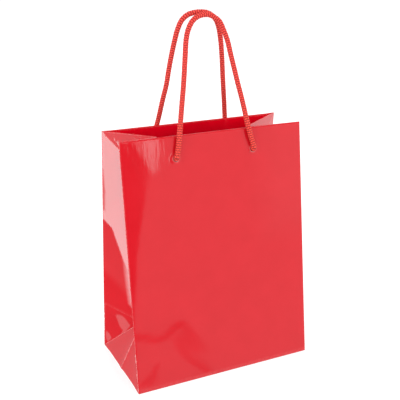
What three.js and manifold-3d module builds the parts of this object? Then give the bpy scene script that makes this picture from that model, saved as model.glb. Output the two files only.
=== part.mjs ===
// A paper gift bag with rope handles, standing open on its base: two big walls that lean towards
// each other, four half gussets folded in between them, a turned-in hem over cardboard strips, a
// folded bottom with a loose board on it, and two ropes knotted inside.
// Millimetres, +Z up, origin on the floor at the middle of the base. The front wall faces -Y.
import * as THREE from "three";
import { mergeVertices } from "three/addons/utils/BufferGeometryUtils.js";
import Module from "manifold-3d";

// ---- Driving dimensions ----
const WIDTH = 180; // a big wall, fold to fold
const DEPTH = 100; // the base, front fold to back fold
const WALL = 233; // a big wall, from its bottom fold to its top edge
const LEAN = THREE.MathUtils.degToRad(6.5); // how far each big wall leans in
const HEM = 40; // depth of the turned-in top
const PAPER = 0.5; // laminated paper, with its film
const BOARD = 1; // cardboard strip in the hem
const BASE_BOARD = 1.5;
const GAP = 0.25; // between two layers that lie on each other
const ROPE = 4.6; // handle rope diameter
const HOLE = 5.6; // punched hole diameter
const HOLE_SPACING = 77;
const HOLE_DROP = 20; // hole centre below the top edge
const KNOT = 11.5; // knot diameter
const KNOT_DEPTH = 9; // from the hem to the knot's far side
const BOTTOM_LAP = 12; // how far each bottom flap passes the middle
const TUCK_LENGTH = 45; // side tuck of the bottom, from the side fold to its blunt tip
const SEAM_TAB = 15; // width of the glued side seam

// The two ropes, hole to hole, as [x across the wall, out from its paper, up from its holes]. Each
// rises almost straight, leans in over the mouth and turns over at the top, where they rest together.
const FRONT_ROUTE = [
  [-38.5, 2.9, 0],
  [-36.6, 3, 12],
  [-34.2, 2.6, 26],
  [-30.1, 0.2, 46],
  [-26.1, -2.7, 63],
  [-23.7, -4.3, 76],
  [-21.4, -5.8, 89],
  [-19.2, -7.2, 101],
  [-16.3, -8.2, 109.4],
  [-11.6, -9, 116.5],
  [-6.1, -9.4, 120.3],
  [-0.6, -9.6, 121.7],
  [5.2, -9.6, 121.5],
  [10.4, -9.3, 119.1],
  [14.9, -8.8, 115.2],
  [18.3, -7.9, 106.9],
  [20.8, -7, 98.9],
  [22.9, -5.4, 85.7],
  [25.2, -3.9, 72.3],
  [27.4, -2.3, 59],
  [29.6, -0.4, 46],
  [32.5, 2.6, 25],
  [35.4, 3, 12],
  [38.5, 2.9, 0],
];
const BACK_ROUTE = [
  [38.5, 2.9, 0],
  [36.6, 3, 12],
  [33.4, 2.5, 26],
  [31, -0.3, 43.6],
  [28.5, -2.2, 58],
  [27.2, -3.9, 72.2],
  [25.6, -5.5, 86.1],
  [23.5, -7.1, 99.8],
  [21.7, -8.1, 108.7],
  [18.4, -9.1, 117],
  [13.2, -9.6, 121.7],
  [7.5, -9.8, 123.4],
  [1.3, -9.9, 123.8],
  [-4.6, -9.8, 123.2],
  [-10.3, -9.5, 120.7],
  [-14.7, -9.1, 116.9],
  [-18.7, -8.2, 109.4],
  [-22.2, -6.8, 97.2],
  [-25.1, -5.1, 82.9],
  [-27.6, -3.4, 68.2],
  [-30.2, -1.6, 53.1],
  [-32.8, 0.4, 40],
  [-35.4, 2.5, 26],
  [-37.2, 3, 12],
  [-38.5, 2.9, 0],
];

// ---- Worked out from them ----
const HALF_WIDTH = WIDTH / 2;
const HALF_DEPTH = DEPTH / 2;
const CLEAR = PAPER + 2 * GAP; // keeps a piece off the paper that it stands beside
const BOARD_NEAR = PAPER + GAP; // the layers of a big wall, from its outer face inwards
const HEM_NEAR = BOARD_NEAR + BOARD + GAP;
const HEM_FAR = HEM_NEAR + PAPER;
const HEM_INSET = 9; // hem and board end before the folds, where the gusset leaves no room
const HOLE_UP = WALL - HOLE_DROP;

// The gusset meets the base triangle at its peak, and its centre fold runs from there to the mouth.
// Each stretch keeps its length in the flat sheet, which fixes both ends of that fold.
const peakHalfGap = HALF_DEPTH * (1 - Math.sin(LEAN));
const peakIn = Math.sqrt(HALF_DEPTH ** 2 - peakHalfGap ** 2);
const peakUp = Math.sqrt(HALF_DEPTH ** 2 - peakIn ** 2);
const topHalfGap = HALF_DEPTH - WALL * Math.sin(LEAN);
const topIn = Math.sqrt(HALF_DEPTH ** 2 - topHalfGap ** 2);
const foldRise = Math.sqrt((WALL - HALF_DEPTH) ** 2 - (topIn - peakIn) ** 2);
const PEAK = new THREE.Vector3(-HALF_WIDTH + peakIn, 0, peakUp);
const MOUTH = new THREE.Vector3(-HALF_WIDTH + topIn, 0, peakUp + foldRise);

const COLOURS = {
  paper: { color: 0xd8141f, roughness: 0.12 },
  lining: { color: 0xc4001a, roughness: 0.3 },
  board: { color: 0xe9e6df, roughness: 0.9 },
  rope: { color: 0xdc3a34, roughness: 0.75 },
};
const MATERIALS = Object.fromEntries(
  Object.entries(COLOURS).map(([name, look]) => [
    name,
    new THREE.MeshStandardMaterial({ ...look, metalness: 0, side: THREE.DoubleSide }),
  ]),
);

const wasm = await Module();
wasm.setup();

function named(name, geometry, look) {
  const mesh = new THREE.Mesh(geometry, MATERIALS[look]);
  mesh.name = name;
  return mesh;
}

// ---- Helpers for sheets and cuts ----

// A sheet: a unit block whose u, v and t (each 0 to 1) are sent to a place by a function.
function bentSheet(acrossSteps, alongSteps, place) {
  const geometry = new THREE.BoxGeometry(1, 1, 1, acrossSteps, alongSteps, 1);
  const position = geometry.attributes.position;
  const point = new THREE.Vector3();
  for (let i = 0; i < position.count; i++) {
    point.fromBufferAttribute(position, i).addScalar(0.5);
    const placed = place(point.x, point.y, point.z);
    position.setXYZ(i, placed.x, placed.y, placed.z);
  }
  return geometry;
}

// A flat outline given in the plane of across and up, thickened along their cross product.
function flatSheet(outline, across, up, thickness) {
  const shape = new THREE.Shape(outline.map(([a, b]) => new THREE.Vector2(a, b)));
  const geometry = new THREE.ExtrudeGeometry(shape, { depth: thickness, bevelEnabled: false });
  const normal = across.clone().cross(up);
  return geometry.applyMatrix4(new THREE.Matrix4().makeBasis(across, up, normal));
}

function toSolid(geometry) {
  const bare = geometry.clone();
  bare.deleteAttribute("normal");
  bare.deleteAttribute("uv");
  const merged = mergeVertices(bare, 1e-4);
  return new wasm.Manifold(
    new wasm.Mesh({
      numProp: 3,
      vertProperties: new Float32Array(merged.attributes.position.array),
      triVerts: new Uint32Array(merged.index.array),
    }),
  );
}

function fromSolid(solid) {
  const mesh = solid.getMesh();
  const geometry = new THREE.BufferGeometry();
  geometry.setAttribute("position", new THREE.BufferAttribute(mesh.vertProperties, 3));
  geometry.setIndex(new THREE.BufferAttribute(mesh.triVerts, 1));
  return geometry;
}

// Cuts the two rope holes through a layer of a big wall.
function punched(geometry) {
  let solid = toSolid(geometry);
  for (const side of [-1, 1]) {
    const punch = new THREE.CylinderGeometry(HOLE / 2, HOLE / 2, 20, 28);
    punch.translate((side * HOLE_SPACING) / 2, 0, HOLE_UP);
    solid = solid.subtract(toSolid(punch));
  }
  return fromSolid(solid);
}

// ---- A big wall, in its own frame: x along the fold, y inwards, z up the paper ----

function panel() {
  const foot = GAP; // keeps the tilted bottom corner off the floor
  const block = new THREE.BoxGeometry(WIDTH, PAPER, WALL - GAP - PAPER - foot);
  block.translate(0, PAPER / 2, (WALL - GAP - PAPER + foot) / 2);
  return punched(block);
}

function boardStrip() {
  const height = HEM - 2 * PAPER - 2 * GAP;
  const block = new THREE.BoxGeometry(2 * (HALF_WIDTH - HEM_INSET), BOARD, height);
  block.translate(0, BOARD_NEAR + BOARD / 2, WALL - PAPER - GAP - height / 2);
  return punched(block);
}

// The hem folds over the top edge and hangs down inside, behind the board strip.
function hem() {
  const top = WALL;
  const under = WALL - PAPER;
  const profile = [
    [0, under],
    [HEM_NEAR, under],
    [HEM_NEAR, WALL - HEM],
    [HEM_FAR, WALL - HEM],
    [HEM_FAR, top],
    [0, top],
  ];
  const inwards = new THREE.Vector3(0, 1, 0);
  const upwards = new THREE.Vector3(0, 0, 1);
  const strip = flatSheet(profile, inwards, upwards, 2 * (HALF_WIDTH - HEM_INSET));
  return punched(strip.translate(-(HALF_WIDTH - HEM_INSET), 0, 0));
}

// A knot behind the hem, with the short stretch of rope that fills the hole.
function knot(side) {
  const near = HEM_FAR + GAP;
  const profile = [
    [0, -GAP],
    [ROPE / 2, -GAP],
  ];
  const first = Math.asin(ROPE / KNOT);
  const steps = 10;
  for (let i = 0; i <= steps; i++) {
    const turn = first + ((Math.PI - first) * i) / steps;
    const along = near + (KNOT_DEPTH / 2) * (Math.cos(first) - Math.cos(turn));
    profile.push([i < steps ? (KNOT / 2) * Math.sin(turn) : 0, along]);
  }
  const points = profile.map(([r, along]) => new THREE.Vector2(r, along));
  const geometry = new THREE.LatheGeometry(points, 20);
  return geometry.translate((side * HOLE_SPACING) / 2, 0, HOLE_UP);
}

// The rope outside the wall, along its route.
function handle(route) {
  const points = route.map(([x, out, up]) => new THREE.Vector3(x, -out, HOLE_UP + up));
  const path = new THREE.CatmullRomCurve3(points);
  const section = new THREE.Shape().absarc(0, 0, ROPE / 2, 0, 2 * Math.PI);
  return new THREE.ExtrudeGeometry(section, {
    extrudePath: path,
    steps: 52,
    curveSegments: 5,
    bevelEnabled: false,
  });
}

function wallAssembly(name, turn, route) {
  const wall = new THREE.Group();
  wall.position.y = -HALF_DEPTH;
  wall.rotation.x = -LEAN;
  wall.add(
    named(name + "_panel", panel(), "paper"),
    named(name + "_top_board", boardStrip(), "board"),
    named(name + "_hem", hem(), "lining"),
    named(name + "_left_knot", knot(turn ? 1 : -1), "rope"),
    named(name + "_right_knot", knot(turn ? -1 : 1), "rope"),
    named(name + "_handle_cord", handle(route), "rope"),
  );
  const turned = new THREE.Group();
  turned.rotation.z = turn;
  turned.add(wall);
  return { turned, wall };
}

// The back wall's glued tab, flat against its inner face beside the right-hand fold.
function seamTab() {
  const low = 6;
  const high = WALL - HEM - 2;
  const block = new THREE.BoxGeometry(SEAM_TAB, PAPER, high - low);
  return block.translate(-HALF_WIDTH + 6 + SEAM_TAB / 2, PAPER + GAP + PAPER / 2, (low + high) / 2);
}

// ---- The folded sides, made for the left front quarter and mirrored for the others ----

// Where a point of a half gusset lies: s in from the wall's fold, w up the wall, both on the flat
// sheet, and depth inwards from the outer face.
function gussetPoint(s, w) {
  const fold = new THREE.Vector3(-HALF_WIDTH, -HALF_DEPTH + w * Math.sin(LEAN), w * Math.cos(LEAN));
  const corner = new THREE.Vector3(-HALF_WIDTH, -HALF_DEPTH, 0);
  const far =
    w < HALF_DEPTH
      ? corner.lerp(PEAK, w / HALF_DEPTH)
      : PEAK.clone().lerp(MOUTH, (w - HALF_DEPTH) / (WALL - HALF_DEPTH));
  return fold.lerp(far, s / Math.min(w, HALF_DEPTH));
}

function gussetDepth(s, w, depth) {
  const step = 0.5;
  const place = gussetPoint(s, w);
  const across = gussetPoint(s + step, w).sub(place);
  const up = gussetPoint(s, w + step).sub(place);
  return place.addScaledVector(across.cross(up).normalize(), depth);
}

function gussetHalf() {
  const near = 2.6; // leaves room for the wall's paper at the fold
  const far = HALF_DEPTH - GAP;
  const top = WALL - PAPER;
  return bentSheet(5, 20, (u, v, t) => {
    const s = near + (far - near) * u;
    const low = s + CLEAR / 2;
    return gussetDepth(s, low + (top - low) * v, PAPER * t);
  });
}

function gussetHem() {
  const near = HEM_INSET + 2;
  const far = HALF_DEPTH - CLEAR;
  const low = WALL - HEM;
  const high = WALL - PAPER;
  return bentSheet(3, 3, (u, v, t) => {
    const depth = PAPER + GAP + PAPER * t;
    return gussetDepth(near + (far - near) * u, low + (high - low) * v, depth);
  });
}

function baseTriangleHalf() {
  const low = 1.2;
  const middle = -GAP;
  const slant = HALF_DEPTH - CLEAR / 2;
  const outline = [
    [low - slant, low],
    [middle, low],
    [middle, middle + slant],
  ];
  const along = new THREE.Vector3(0, 1, 0);
  const up = PEAK.clone().setX(peakIn).normalize();
  const sheet = flatSheet(outline, along, up, PAPER);
  return sheet.translate(-HALF_WIDTH, 0, 0);
}

function sideQuarters() {
  const quarters = new THREE.Group();
  for (const [sideName, sideSign] of [["left", 1], ["right", -1]]) {
    for (const [endName, endSign] of [["front", 1], ["rear", -1]]) {
      const quarter = new THREE.Group();
      const prefix = sideName + "_" + endName + "_";
      quarter.scale.set(sideSign, endSign, 1);
      quarter.add(
        named(prefix + "gusset", gussetHalf(), "paper"),
        named(prefix + "gusset_hem", gussetHem(), "lining"),
        named(prefix + "base_triangle", baseTriangleHalf(), "paper"),
      );
      quarters.add(quarter);
    }
  }
  return quarters;
}

// ---- The folded bottom, from the floor up: flaps, side tucks, loose board ----

const FLAP_EDGE = HALF_DEPTH - CLEAR;

// A bottom flap narrows at 45 degrees from the corners of the base.
function flapHalfWidth(reach) {
  return HALF_WIDTH - CLEAR - reach;
}

function frontFlap() {
  return bentSheet(1, 1, (u, v, t) => {
    const y = -FLAP_EDGE + (FLAP_EDGE + BOTTOM_LAP) * v;
    const half = flapHalfWidth(y + FLAP_EDGE);
    return new THREE.Vector3(half * (2 * u - 1), y, PAPER * t);
  });
}

// The back flap steps up over the front one where they lap.
function backFlap() {
  const stepFrom = BOTTOM_LAP + GAP;
  const stepTo = stepFrom + 2;
  const places = [-BOTTOM_LAP, stepFrom, stepTo, FLAP_EDGE];
  const heights = [PAPER + GAP, PAPER + GAP, 0, 0];
  return bentSheet(1, places.length - 1, (u, v, t) => {
    const i = Math.round(v * (places.length - 1));
    const half = flapHalfWidth(FLAP_EDGE - places[i]);
    return new THREE.Vector3(half * (2 * u - 1), places[i], heights[i] + PAPER * t);
  });
}

function sideTuck() {
  const near = -HALF_WIDTH + 2;
  const far = -HALF_WIDTH + TUCK_LENGTH;
  const nearHalf = HALF_DEPTH - 3;
  const farHalf = nearHalf - TUCK_LENGTH + 2;
  const outline = [
    [near, -nearHalf],
    [far, -farHalf],
    [far, farHalf],
    [near, nearHalf],
  ];
  const sheet = flatSheet(outline, new THREE.Vector3(1, 0, 0), new THREE.Vector3(0, 1, 0), PAPER);
  return sheet.translate(0, 0, 2 * (PAPER + GAP));
}

function baseBoard() {
  const board = new THREE.BoxGeometry(WIDTH - 6.4, DEPTH - 4, BASE_BOARD);
  return board.translate(0, 0, 3 * (PAPER + GAP) + BASE_BOARD / 2);
}

function bottom() {
  const group = new THREE.Group();
  const rightTuck = named("right_bottom_tuck", sideTuck(), "paper");
  rightTuck.scale.x = -1;
  group.add(
    named("front_bottom_flap", frontFlap(), "paper"),
    named("back_bottom_flap", backFlap(), "paper"),
    named("left_bottom_tuck", sideTuck(), "paper"),
    rightTuck,
    named("base_board", baseBoard(), "board"),
  );
  return group;
}

// ---- The whole bag ----

const bag = new THREE.Group();
const front = wallAssembly("front", 0, FRONT_ROUTE);
const back = wallAssembly("back", Math.PI, BACK_ROUTE);
back.wall.add(named("side_seam_tab", seamTab(), "paper"));
bag.add(front.turned, back.turned, sideQuarters(), bottom());

export default bag;
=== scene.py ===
"""A glossy red paper gift bag with braided rope handles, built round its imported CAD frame.

Metres, +Z up, origin on the floor at the middle of the base. The front wall faces -Y.
A big wall's own frame is x across it, depth inwards from its outer face, and up the paper.
"""

import math

import bpy
import numpy as np
from mathutils import Matrix, Vector


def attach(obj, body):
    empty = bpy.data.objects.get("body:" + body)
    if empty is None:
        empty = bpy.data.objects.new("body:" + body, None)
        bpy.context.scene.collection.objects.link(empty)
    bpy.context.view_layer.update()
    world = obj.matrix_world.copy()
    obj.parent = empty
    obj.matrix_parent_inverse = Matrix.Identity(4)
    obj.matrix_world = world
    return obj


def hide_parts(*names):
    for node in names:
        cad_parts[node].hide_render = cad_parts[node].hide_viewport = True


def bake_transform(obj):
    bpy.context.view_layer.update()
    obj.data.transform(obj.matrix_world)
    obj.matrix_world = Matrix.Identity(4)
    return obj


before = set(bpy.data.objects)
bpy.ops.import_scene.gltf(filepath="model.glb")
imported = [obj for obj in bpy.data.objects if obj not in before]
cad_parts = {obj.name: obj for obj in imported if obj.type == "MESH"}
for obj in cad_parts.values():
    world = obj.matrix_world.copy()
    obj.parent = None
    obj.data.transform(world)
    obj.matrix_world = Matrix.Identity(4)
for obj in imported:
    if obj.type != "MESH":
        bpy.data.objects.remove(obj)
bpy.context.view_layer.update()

# ---- Driving sizes, the same as the CAD part's ----
HALF_WIDTH = 0.090
HALF_DEPTH = 0.050
WALL = 0.233  # a big wall, from its bottom fold to its top edge
LEAN = math.radians(6.5)
HEM = 0.040
HEM_FAR = 0.0025  # the turned-in layer's inner face, inwards from the wall's outer face
HEM_INSET = 0.009  # the cardboard strip ends this far before the folds
ROPE = 0.0046
HOLE_SPACING = 0.077
HOLE_UP = WALL - 0.020
HOLE_RADIUS = 0.0028

# ---- Sizes that only the looks need ----
SHEET = 0.0003  # paper with its film
NOSE = 0.0004  # radius of a hard fold, over two layers of paper
EPSILON = 1e-5  # step for finite differences

SIN, COS = math.sin(LEAN), math.cos(LEAN)
ACROSS = np.array([1.0, 0.0, 0.0])
INWARDS = np.array([0.0, COS, -SIN])  # of the front wall
UPWARDS = np.array([0.0, SIN, COS])

# The gusset's centre fold runs from its peak, over the base triangle, to the mouth.
PEAK_IN = math.sqrt(HALF_DEPTH**2 - (HALF_DEPTH * (1 - SIN)) ** 2)
PEAK_UP = math.sqrt(HALF_DEPTH**2 - PEAK_IN**2)
MOUTH_GAP = HALF_DEPTH - WALL * SIN
MOUTH_IN = math.sqrt(HALF_DEPTH**2 - MOUTH_GAP**2)
FOLD_RISE = math.sqrt((WALL - HALF_DEPTH) ** 2 - (MOUTH_IN - PEAK_IN) ** 2)
CORNER = np.array([-HALF_WIDTH, -HALF_DEPTH, 0.0])
PEAK = np.array([-HALF_WIDTH + PEAK_IN, 0.0, PEAK_UP])
MOUTH = np.array([-HALF_WIDTH + MOUTH_IN, 0.0, PEAK_UP + FOLD_RISE])


def smooth(t):
    """0 below 0, 1 above 1, and a smooth step between."""
    t = np.clip(t, 0, 1)
    return t * t * (3 - 2 * t)


def add_object(name, data):
    made = bpy.data.objects.new(name, data)
    bpy.context.scene.collection.objects.link(made)
    return made


# ---- Camera ----


def make_camera():
    target = Vector((-0.0033, 0.0001, 0.1599))
    azimuth, elevation, distance = math.radians(25.23), math.radians(18.78), 0.6933
    roll = math.radians(-0.338)
    level = math.cos(elevation)
    away = Vector((-math.sin(azimuth) * level, -math.cos(azimuth) * level, math.sin(elevation)))
    data = bpy.data.cameras.new("camera")
    data.sensor_width = 36.0
    data.lens = 65.54
    data.clip_start, data.clip_end = 0.01, 50.0
    camera = add_object("camera", data)
    camera.location = target + away * distance
    aim = (-away).to_track_quat("-Z", "Y").to_matrix().to_4x4()
    camera.rotation_euler = (aim @ Matrix.Rotation(roll, 4, "Z")).to_euler()
    bpy.context.scene.camera = camera


make_camera()


# ---- Node helpers ----


class Nodes:
    """A short way to write node trees. An input's value is a socket to link, a number or a colour."""

    def __init__(self, tree):
        self.tree = tree
        tree.nodes.clear()

    def fill(self, node, inputs):
        """Links or sets a node's inputs, given by name or by place."""
        for key, value in inputs.items():
            if isinstance(value, bpy.types.NodeSocket):
                self.tree.links.new(value, node.inputs[key])
            else:
                node.inputs[key].default_value = value

    def add(self, kind, inputs=(), **settings):
        node = self.tree.nodes.new(kind)
        for key, value in settings.items():
            setattr(node, key, value)
        self.fill(node, dict(inputs))
        return node

    def math(self, operation, a, b):
        return self.add("ShaderNodeMath", {0: a, 1: b}, operation=operation).outputs[0]

    def scaled(self, vector, scale):
        return self.add("ShaderNodeMapping", {"Vector": vector, "Scale": scale}).outputs["Vector"]

    def noise(self, vector, scale, detail=2.0, roughness=0.5):
        inputs = {"Vector": vector, "Scale": scale, "Detail": detail, "Roughness": roughness}
        return self.add("ShaderNodeTexNoise", inputs).outputs["Fac"]

    def mapped(self, value, low, high, to_low, to_high):
        inputs = {"Value": value, "From Min": low, "From Max": high, "To Min": to_low, "To Max": to_high}
        return self.add("ShaderNodeMapRange", inputs).outputs["Result"]

    def mixed(self, factor, a, b):
        """Mixes two colours, each a tuple or a socket."""
        a, b = ((*colour, 1.0) if isinstance(colour, tuple) else colour for colour in (a, b))
        return self.add("ShaderNodeMix", {0: factor, 6: a, 7: b}, data_type="RGBA").outputs[2]

    def bump(self, height, distance, strength, normal=None):
        inputs = {"Height": height, "Distance": distance, "Strength": strength}
        if normal is not None:
            inputs["Normal"] = normal
        return self.add("ShaderNodeBump", inputs).outputs["Normal"]


def new_material(name):
    """A material, its node helper, its shader node and the object's own coordinates."""
    material = bpy.data.materials.new(name)
    material.use_nodes = True
    nodes = Nodes(material.node_tree)
    output = nodes.add("ShaderNodeOutputMaterial")
    shader = nodes.add("ShaderNodeBsdfPrincipled")
    nodes.fill(output, {"Surface": shader.outputs["BSDF"]})
    place = nodes.add("ShaderNodeTexCoord").outputs["Object"]
    return material, nodes, shader, place


# ---- Materials ----

HEM_RIPPLES = (0.190, 0.222)  # heights between which the paper's ripples set in
HEM_PAINTED_SHADE = (0.232, 0.208)  # heights over which painted shade darkens the turned-in strip
FOLD_PINK = (0.85, 0.24, 0.24)  # worn print, and painted highlight along the folds


def glossy_paper(name, deep, bright, roughness, shine, painted_shade=0.0):
    """Coated paper printed in one red: faint mottle, softened print on the folds, a wavy film. The pink along
    the folds is partly worn print and partly painted highlight.

    shine is its specular level. painted_shade is painted shade: it darkens the red downwards, over the strip
    at the mouth, where less light reaches.
    """
    material, nodes, shader, place = new_material(name)
    mottle = nodes.noise(place, 45.0, 4.0)
    grain = nodes.noise(place, 900.0, 3.0)
    red = nodes.mixed(nodes.mapped(mottle, 0.3, 0.7, 0.0, 1.0), deep, bright)
    red = nodes.mixed(nodes.math("MULTIPLY", grain, 0.03), red, (0.8, 0.08, 0.08))
    height = nodes.add("ShaderNodeSeparateXYZ", {"Vector": place}).outputs["Z"]
    # Painted shade: the red darkens down the turned-in strip, where less light reaches into the mouth.
    if painted_shade:
        down = nodes.mapped(height, *HEM_PAINTED_SHADE, 0.0, painted_shade)
        red = nodes.mixed(down, red, tuple(0.45 * part for part in deep))
    # How near a fold a point is, from 0 to 1, as the paper pieces store it. The pink mixed in there is partly
    # worn print and partly painted highlight.
    wear_and_highlight = nodes.add("ShaderNodeAttribute", attribute_name="fold_wear_and_highlight").outputs["Fac"]
    patchy = nodes.mapped(nodes.noise(place, 320.0, 3.0), 0.35, 0.65, 0.25, 1.0)
    worn_and_highlit = nodes.math("MULTIPLY", wear_and_highlight, patchy)
    red = nodes.mixed(nodes.math("MULTIPLY", worn_and_highlit, 0.55), red, FOLD_PINK)
    smudge = nodes.mapped(nodes.noise(place, 28.0, 3.0), 0.3, 0.7, roughness, roughness + 0.02)
    rough = nodes.math("ADD", smudge, nodes.math("MULTIPLY", worn_and_highlit, 0.5))
    film = nodes.bump(nodes.noise(place, 130.0, 2.0), 0.00002, 0.35)
    # Fine upright ripples over the hem, where the glue pulls at the paper.
    upright = nodes.scaled(place, (1.0, 1.0, 0.10))
    over_hem = nodes.mapped(height, *HEM_RIPPLES, 0.0, 1.0)
    ripples = nodes.math("MULTIPLY", nodes.noise(upright, 380.0, 2.0), over_hem)
    film = nodes.bump(ripples, 0.000016, 1.0, film)
    normal = nodes.bump(grain, 0.000004, 0.25, film)
    nodes.fill(shader, {"Base Color": red, "Roughness": rough, "Normal": normal})
    nodes.fill(shader, {"IOR": 1.5, "Specular IOR Level": shine})
    return material


def bare_paper():
    """The uncoated back of the paper: warm white, matt, with fibres and a few grey flecks."""
    material, nodes, shader, place = new_material("bare_paper")
    fibres = nodes.noise(place, 1400.0, 5.0, 0.65)
    clouds = nodes.noise(place, 60.0, 3.0)
    white = nodes.mixed(clouds, (0.90, 0.88, 0.84), (0.95, 0.93, 0.90))
    fleck = nodes.mapped(fibres, 0.66, 0.76, 0.0, 0.35)
    colour = nodes.mixed(fleck, white, (0.55, 0.50, 0.45))
    rough = nodes.mapped(fibres, 0.3, 0.7, 0.78, 0.92)
    nodes.fill(shader, {"Base Color": colour, "Roughness": rough, "Specular IOR Level": 0.3})
    nodes.fill(shader, {"Normal": nodes.bump(fibres, 0.00003, 0.6)})
    return material


def cardboard():
    """Grey-white board with short fibres, pressed smooth."""
    material, nodes, shader, place = new_material("cardboard")
    fibres = nodes.noise(nodes.scaled(place, (1.0, 4.0, 4.0)), 260.0, 6.0, 0.7)
    clouds = nodes.noise(place, 35.0, 3.0)
    base = nodes.mixed(clouds, (0.74, 0.70, 0.65), (0.84, 0.80, 0.75))
    fleck = nodes.mapped(fibres, 0.60, 0.72, 0.0, 0.55)
    colour = nodes.mixed(fleck, base, (0.50, 0.44, 0.36))
    rough = nodes.mapped(fibres, 0.3, 0.7, 0.82, 0.95)
    nodes.fill(shader, {"Base Color": colour, "Roughness": rough, "Specular IOR Level": 0.25})
    nodes.fill(shader, {"Normal": nodes.bump(fibres, 0.00006, 0.6)})
    return material


def rope():
    """Dyed braided cord: matt, with fine filaments. Each strand is painted lighter on its crown and dark in
    the grooves: painted highlight and painted shade.
    """
    material, nodes, shader, place = new_material("braided_rope")
    painted_braid_shading = nodes.add("ShaderNodeAttribute", attribute_name="strand_height").outputs["Fac"]
    filaments = nodes.noise(place, 2600.0, 3.0, 0.6)
    patches = nodes.noise(place, 90.0, 3.0)
    # Painted highlight on the strands' crowns and painted shade in the grooves between them, read from the
    # strand heights.
    top = nodes.mixed(patches, (0.90, 0.058, 0.044), (0.96, 0.078, 0.058))
    red = nodes.mixed(nodes.mapped(painted_braid_shading, 0.72, 0.95, 0.0, 1.0), (0.22, 0.001, 0.003), top)
    red = nodes.mixed(nodes.mapped(filaments, 0.35, 0.75, 0.0, 0.25), red, (0.88, 0.12, 0.09))
    rough = nodes.mapped(filaments, 0.3, 0.7, 0.55, 0.8)
    nodes.fill(shader, {"Base Color": red, "Roughness": rough, "Specular IOR Level": 0.3})
    nodes.fill(shader, {"Normal": nodes.bump(filaments, 0.00008, 0.6)})
    nodes.fill(shader, {"Sheen Weight": 0.05, "Sheen Roughness": 0.4, "Sheen Tint": (1.0, 0.6, 0.5, 1.0)})
    return material


FILM_ROUGHNESS = 0.022
GLOSSY = glossy_paper(
    "glossy_red_paper", (0.610, 0.0050, 0.0125), (0.640, 0.0065, 0.0150), FILM_ROUGHNESS, shine=0.8
)
WALL_PAPER = glossy_paper(
    "glossy_red_wall_paper", (0.555, 0.0055, 0.0125), (0.585, 0.0070, 0.0150), FILM_ROUGHNESS, shine=0.3
)
# The same red paper as outside, painted lighter here to stand in for light inside the dim mouth; its last
# argument adds painted shade downwards.
TURNED_IN = glossy_paper(
    "turned_in_red_paper", (0.82, 0.0, 0.013), (0.90, 0.001, 0.018), 0.12, shine=0.5, painted_shade=0.7
)
BARE = bare_paper()
BOARD = cardboard()
CORD = rope()


# ---- Mesh helpers ----


def new_piece(name, points, faces, materials, face_materials, sharp=40.0):
    mesh = bpy.data.meshes.new(name)
    mesh.from_pydata([tuple(p) for p in points], [], faces)
    for material in materials:
        mesh.materials.append(material)
    mesh.polygons.foreach_set("material_index", np.array(face_materials, np.int32))
    mesh.polygons.foreach_set("use_smooth", np.ones(len(faces), bool))
    mesh.update()
    mesh.set_sharp_from_angle(angle=math.radians(sharp))
    return add_object(name, mesh)


def store(piece, name, values):
    """Keeps one number at each point of a piece, for its material to read."""
    attribute = piece.data.attributes.new(name, "FLOAT", "POINT")
    attribute.data.foreach_set("value", np.asarray(values, np.float32))


def grid(us, vs):
    """Sheet coordinates and faces of a rectangular grid, wound so that u then v face outwards."""
    flat = np.array([(u, v) for v in vs for u in us])
    n = len(us)
    faces = [
        (j * n + i, j * n + i + 1, (j + 1) * n + i + 1, (j + 1) * n + i)
        for j in range(len(vs) - 1)
        for i in range(n - 1)
    ]
    return flat, faces


def tube_faces(rows, count):
    """Faces round a tube whose points are rings of count, one after another."""
    faces = []
    for j in range(rows - 1):
        for i in range(count):
            k = (i + 1) % count
            faces.append((j * count + i, j * count + k, (j + 1) * count + k, (j + 1) * count + i))
    return faces


def spaced(low, high, step):
    """Evenly spaced numbers from low to high, no further apart than step."""
    return np.linspace(low, high, max(2, int(math.ceil((high - low) / step)) + 1))


def paper(name, flat, faces, place, inner=None, outer=None, thickness=SHEET, wear_and_highlight=None, cut=None):
    """A sheet whose outer face is place(flat), thickened inwards, with a bare cut edge."""
    outer_points = place(flat)
    du, dv = np.array([EPSILON, 0]), np.array([0, EPSILON])
    normal = np.cross(place(flat + du) - place(flat - du), place(flat + dv) - place(flat - dv))
    normal /= np.linalg.norm(normal, axis=1)[:, None]
    count = len(flat)
    points = np.vstack([outer_points, outer_points - normal * thickness])
    edges = {edge: True for face in faces for edge in zip(face, face[1:] + face[:1])}
    rim = [(b, a, a + count, b + count) for a, b in edges if (b, a) not in edges]
    under = [tuple(i + count for i in reversed(face)) for face in faces]
    kinds = [0] * len(faces) + [1] * len(under) + [2] * len(rim)
    materials = [outer or GLOSSY, inner or BARE, cut or BARE]
    piece = new_piece(name, points, list(faces) + under + rim, materials, kinds)
    # Near folds, edges and hole rims: worn print and painted highlight, for the material to mix in.
    worn_and_highlit = np.zeros(count) if wear_and_highlight is None else wear_and_highlight(flat)
    store(piece, "fold_wear_and_highlight", np.hstack([worn_and_highlit, worn_and_highlit]))
    return piece


def joined_rows(x, depth, up):
    """World points of the front wall's own frame."""
    origin = np.array([0.0, -HALF_DEPTH, 0.0])
    x, depth, up = (np.asarray(part)[..., None] for part in (x, depth, up))
    return origin + x * ACROSS + depth * INWARDS + up * UPWARDS


def unturned(points):
    return points


def turned(points):
    """The same place on the back wall: half a turn about the vertical."""
    return points * np.array([-1.0, -1.0, 1.0])


# ---- Rope: a braid of two sets of strands, drawn as one surface ----


def between(t, start, stop, a, b):
    """From a at start to b at stop."""
    return (stop - t) / (stop - start) * a + (t - start) / (stop - start) * b


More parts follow.
